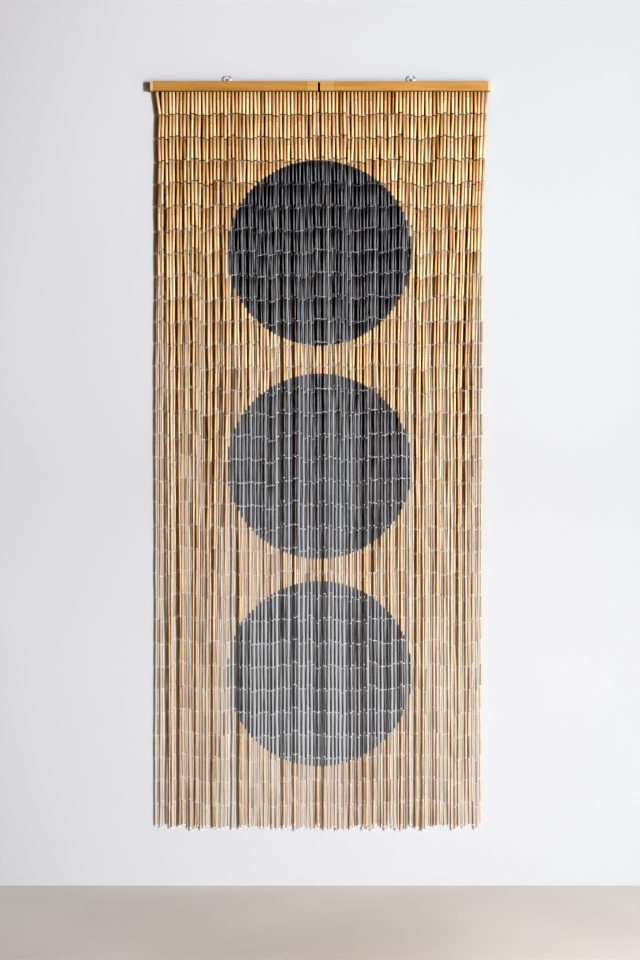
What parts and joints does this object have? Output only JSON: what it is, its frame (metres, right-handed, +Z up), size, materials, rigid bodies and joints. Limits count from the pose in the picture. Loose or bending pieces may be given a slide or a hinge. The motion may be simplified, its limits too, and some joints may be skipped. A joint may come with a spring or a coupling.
{
  "type": "bead curtain with wooden rail",
  "caption": "Door curtain of slim bamboo beads on hanging strings, natural with dark painted discs, under a wooden rail with screw eyes and a fold at its middle.",
  "frame": {"origin": "middle of the rail's top face, between the two screw eyes", "axes": "+Z up, X along the rail, the curtain's front faces -Y"},
  "size_m": [0.9, 0.02, 1.9965],
  "materials": {
    "rail_wood": "satin",
    "bamboo": "satin",
    "fold_steel": "satin",
    "eye_steel": "satin"
  },
  "bodies": {
    "root": {"rail_left": "rail_wood", "rail_right": "rail_wood", "fold_block_left": "rail_wood", "fold_block_right": "rail_wood", "fold_strap": "fold_steel", "eye_left": "eye_steel", "eye_right": "eye_steel", "strands_left": "bamboo", "strands_right": "bamboo"}
  },
  "joints": []
}
